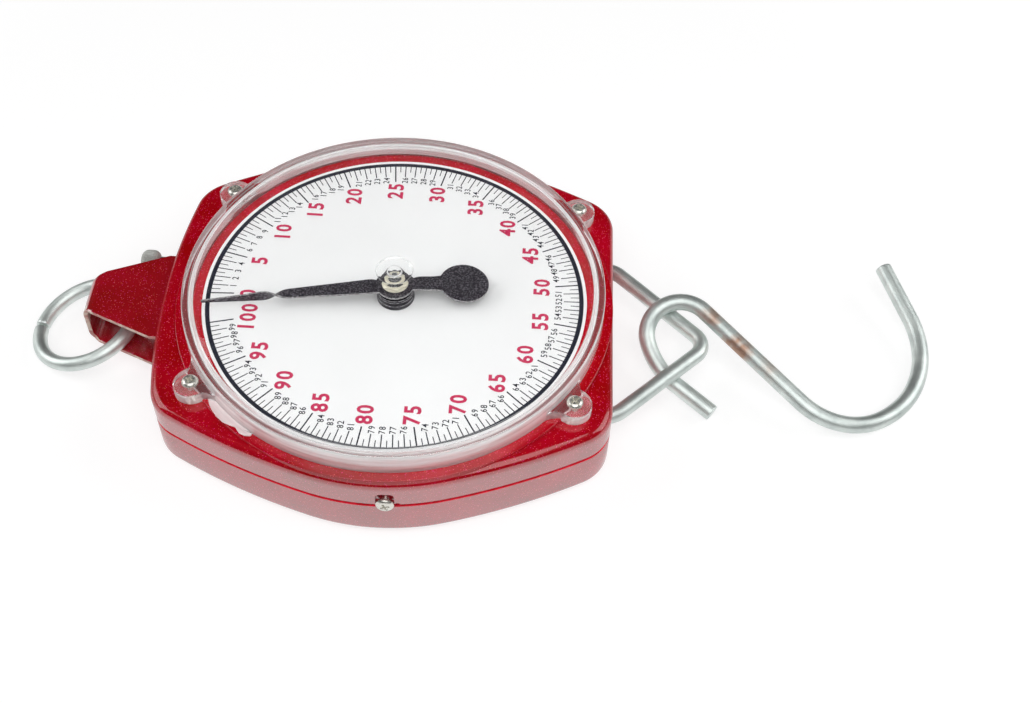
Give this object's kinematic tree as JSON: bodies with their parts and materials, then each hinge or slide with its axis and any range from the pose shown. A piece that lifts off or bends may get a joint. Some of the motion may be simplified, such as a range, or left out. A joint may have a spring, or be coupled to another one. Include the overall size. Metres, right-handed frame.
{
  "type": "hanging dial scale",
  "caption": "Hanging dial scale: red metal case with a clear domed lens, wire suspension ring, sprung load bail and S-hook, lying on its back.",
  "frame": {"origin": "the case's flat back face, under the pointer's axis", "axes": "+X towards the load hook, -X towards the suspension ring, +Z out of the dial"},
  "size_m": [0.4074, 0.1956, 0.0549],
  "materials": {
    "red_paint": "deep red gloss paint with fine sparkle",
    "clear_lens": "clear moulded plastic, frosted on the ears",
    "dial_white": "white printed sheet",
    "dark_metal": "dark satin",
    "yellow_metal": "machined",
    "bright_steel": "turned",
    "sheet_steel": "zinc-plated sheet",
    "screw_nickel": "nickel plated",
    "zinc_wire": "zinc-plated wire, satin and scuffed",
    "grey_knurl": "dull knurled",
    "spring_steel": "drawn wire"
  },
  "bodies": {
    "case": {"front_shell": "red_paint", "rear_shell": "red_paint", "side_screws": "screw_nickel", "lens_cover": "clear_lens", "lens_screws": "screw_nickel", "dial_plate": "dial_white", "dial_bush": "dark_metal", "bearing_bridge": "sheet_steel", "bridge_posts": "bright_steel", "bridge_screws": "screw_nickel", "rear_bearing": "yellow_metal", "chassis_plate": "sheet_steel", "chassis_screws": "screw_nickel", "hanging_strap": "red_paint", "strap_bolts": "bright_steel", "strap_spacers": "bright_steel", "strap_nuts": "bright_steel", "rack_guide": "sheet_steel", "spring_left": "spring_steel", "spring_right": "spring_steel"},
    "ring": {"suspension_ring": "zinc_wire"},
    "knob": {"zero_knob": "grey_knurl", "zero_screw": "bright_steel"},
    "anchor": {"anchor_bar": "sheet_steel"},
    "load": {"crosshead": "sheet_steel", "rack_bar": "yellow_metal", "load_bail": "zinc_wire", "bail_nuts": "screw_nickel"},
    "needle": {"pointer": "dark_metal", "pointer_nut": "yellow_metal", "hub_collar": "dark_metal", "pinion": "yellow_metal", "pinion_spindle": "bright_steel"},
    "hook": {"s_hook": "zinc_wire"}
  },
  "joints": [
    {"name": "ring_swing", "type": "hinge", "parent": "case", "child": "ring", "pos_m": [-0.11794, -0.0019, 0.01554], "axis": [0, 1, 0], "range_deg": [0, 70]},
    {"name": "load_slide", "type": "slide", "parent": "case", "child": "load", "axis": [1, 0, 0], "range_m": [0, 0.02224], "stiffness_N_per_m": 44000, "deforming": ["spring_left", "spring_right"]},
    {"name": "pointer_turn", "type": "hinge", "parent": "case", "child": "needle", "pos_m": [0, 0, 0.0255], "axis": [0, 0, -1], "range_deg": [0, 354]},
    {"name": "hook_swing", "type": "hinge", "parent": "load", "child": "hook", "pos_m": [0.1156, 0.0236, 0.0151], "axis": [0.7133, -0.7009, 0], "range_deg": [0, 60]},
    {"name": "zero_slide", "type": "slide", "parent": "case", "child": "anchor", "axis": [1, 0, 0], "range_m": [-0.001, 0.001]},
    {"name": "zero_knob_turn", "type": "hinge", "parent": "case", "child": "knob", "pos_m": [-0.1, 0.029, 0.019], "axis": [1, 0, 0], "range_deg": [-451, 451]}
  ],
  "couplings": [
    {"joint": "pointer_turn", "follows": "load_slide", "rad_per_m": 277.78},
    {"joint": "zero_knob_turn", "follows": "zero_slide", "rad_per_m": 7854}
  ]
}
